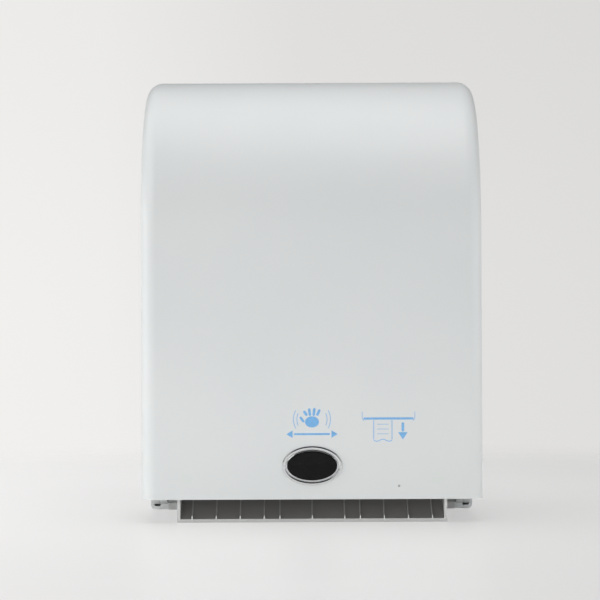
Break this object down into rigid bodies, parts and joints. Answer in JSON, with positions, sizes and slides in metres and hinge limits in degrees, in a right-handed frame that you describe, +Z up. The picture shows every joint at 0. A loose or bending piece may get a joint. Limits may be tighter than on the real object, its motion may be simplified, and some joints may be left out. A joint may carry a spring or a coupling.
{
  "type": "automatic roll towel dispenser",
  "caption": "Wall-mounted automatic roll towel dispenser with a deep swing-down cover, curved top, oval sensor in a chrome ring and a ribbed towel exit below.",
  "frame": {"origin": "centre of the overall footprint at the height of the base", "axes": "+X to the right seen from the front, +Y to the wall, +Z up"},
  "size_m": [0.3, 0.2368, 0.397],
  "materials": {
    "shell": "pale grey-white moulded plastic, satin gloss",
    "frame": "pale grey moulded plastic",
    "charcoal": "dark grey moulded plastic",
    "chrome": "polished chrome plate",
    "window": "dark glossy infrared window",
    "steel": "bright zinc-plated steel",
    "rubber": "matt black rubber",
    "bronze": "sintered bronze",
    "gear": "natural acetal",
    "brass": "turned brass",
    "board": "green lacquered circuit board",
    "button": "blue moulded plastic",
    "cell": "plain dark sleeve",
    "lead": "insulated lead"
  },
  "bodies": {
    "housing": {"rear_housing": "shell", "strike_plate": "steel", "hinge_pins": "steel", "base_tray": "frame", "tray_screws": "steel", "chute_guide": "charcoal", "side_plate_left": "frame", "side_plate_right": "frame", "front_hood": "frame", "rear_deck": "frame", "hood_posts": "steel", "hood_screws": "steel", "tear_bar": "steel", "tear_bar_screws": "steel", "drive_bushes": "bronze", "idler_axle": "steel", "axle_clip": "steel", "motor": "steel", "motor_screws": "steel", "control_board": "board", "sensor_board": "board", "battery_box": "frame", "battery_door_pin": "steel", "battery_cells": "cell", "battery_springs": "steel", "battery_contacts": "steel", "wiring": "lead", "arm_pins": "steel"},
    "cover": {"front_cover": "shell", "lock_nut": "steel", "sensor_bezel": "chrome", "sensor_window": "window", "indicator_lens": "window", "lid_magnet": "steel"},
    "lock": {"lock_barrel": "chrome", "lock_cam": "steel"},
    "drive_roller": {"drive_shaft": "steel", "drive_sleeves": "rubber", "drive_gear": "gear"},
    "idler": {"idler_gear": "gear"},
    "rotor": {"motor_shaft": "steel", "motor_pinion": "brass"},
    "carrier": {"pinch_carrier": "charcoal", "pinch_springs": "steel"},
    "pinch_roller": {"pinch_shaft": "steel", "pinch_rollers": "rubber"},
    "button": {"feed_button": "button"},
    "length_knob": {"length_selector": "charcoal"},
    "delay_knob": {"delay_selector": "charcoal"},
    "cell_door": {"battery_door": "charcoal"},
    "arm_left": {"roll_arm_left": "frame", "arm_spring_left": "steel"},
    "arm_right": {"roll_arm_right": "frame", "arm_spring_right": "steel"},
    "hub_left": {"roll_hub_left": "charcoal"},
    "hub_right": {"roll_hub_right": "charcoal"}
  },
  "joints": [
    {"name": "cover_hinge", "type": "hinge", "parent": "housing", "child": "cover", "pos_m": [0, 0.0104, 0.013], "axis": [1, 0, 0], "range_deg": [0, 90]},
    {"name": "lock_turn", "type": "hinge", "parent": "cover", "child": "lock", "pos_m": [0, 0.0054, 0.377], "axis": [0, 0, 1], "range_deg": [0, 90]},
    {"name": "feed_spin", "type": "hinge", "parent": "housing", "child": "drive_roller", "pos_m": [0, -0.0511, 0.062], "axis": [1, 0, 0], "continuous": true},
    {"name": "idler_spin", "type": "hinge", "parent": "housing", "child": "idler", "pos_m": [-0.12, -0.02156, 0.06721], "axis": [1, 0, 0], "continuous": true},
    {"name": "motor_spin", "type": "hinge", "parent": "housing", "child": "rotor", "pos_m": [-0.115, 0.00664, 0.05695], "axis": [1, 0, 0], "continuous": true},
    {"name": "pinch_swing", "type": "hinge", "parent": "housing", "child": "carrier", "pos_m": [0, -0.08145, 0.088], "axis": [-1, 0, 0], "range_deg": [0, 8], "stiffness_Nm_per_rad": 0.6, "springref_deg": -8.59},
    {"name": "pinch_spin", "type": "hinge", "parent": "carrier", "child": "pinch_roller", "pos_m": [0, -0.07345, 0.062], "axis": [1, 0, 0], "continuous": true},
    {"name": "arm_left_swing", "type": "hinge", "parent": "housing", "child": "arm_left", "pos_m": [-0.1165, 0.1027, 0.262], "axis": [0, 0, -1], "range_deg": [0, 12], "stiffness_Nm_per_rad": 0.5, "springref_deg": -11.46},
    {"name": "arm_right_swing", "type": "hinge", "parent": "housing", "child": "arm_right", "pos_m": [0.1165, 0.1027, 0.262], "axis": [0, 0, 1], "range_deg": [0, 12], "stiffness_Nm_per_rad": 0.5, "springref_deg": -11.46},
    {"name": "hub_left_spin", "type": "hinge", "parent": "arm_left", "child": "hub_left", "pos_m": [-0.1025, 0.0129, 0.262], "axis": [1, 0, 0], "continuous": true},
    {"name": "hub_right_spin", "type": "hinge", "parent": "arm_right", "child": "hub_right", "pos_m": [0.1025, 0.0129, 0.262], "axis": [1, 0, 0], "continuous": true},
    {"name": "battery_door_hinge", "type": "hinge", "parent": "housing", "child": "cell_door", "pos_m": [0, 0.1101, 0.0455], "axis": [-1, 0, 0], "range_deg": [0, 90]},
    {"name": "feed_button_press", "type": "slide", "parent": "housing", "child": "button", "axis": [0, 1, 0], "range_m": [0, 0.0012], "stiffness_N_per_m": 400, "springref_m": -0.001},
    {"name": "length_select", "type": "slide", "parent": "housing", "child": "length_knob", "axis": [1, 0, 0], "range_m": [-0.0035, 0.0035]},
    {"name": "delay_select", "type": "slide", "parent": "housing", "child": "delay_knob", "axis": [1, 0, 0], "range_m": [-0.0035, 0.0035]}
  ],
  "couplings": [
    {"joint": "idler_spin", "follows": "feed_spin", "ratio": -3},
    {"joint": "motor_spin", "follows": "feed_spin", "ratio": 9},
    {"joint": "pinch_spin", "follows": "feed_spin", "ratio": -1.4444}
  ]
}
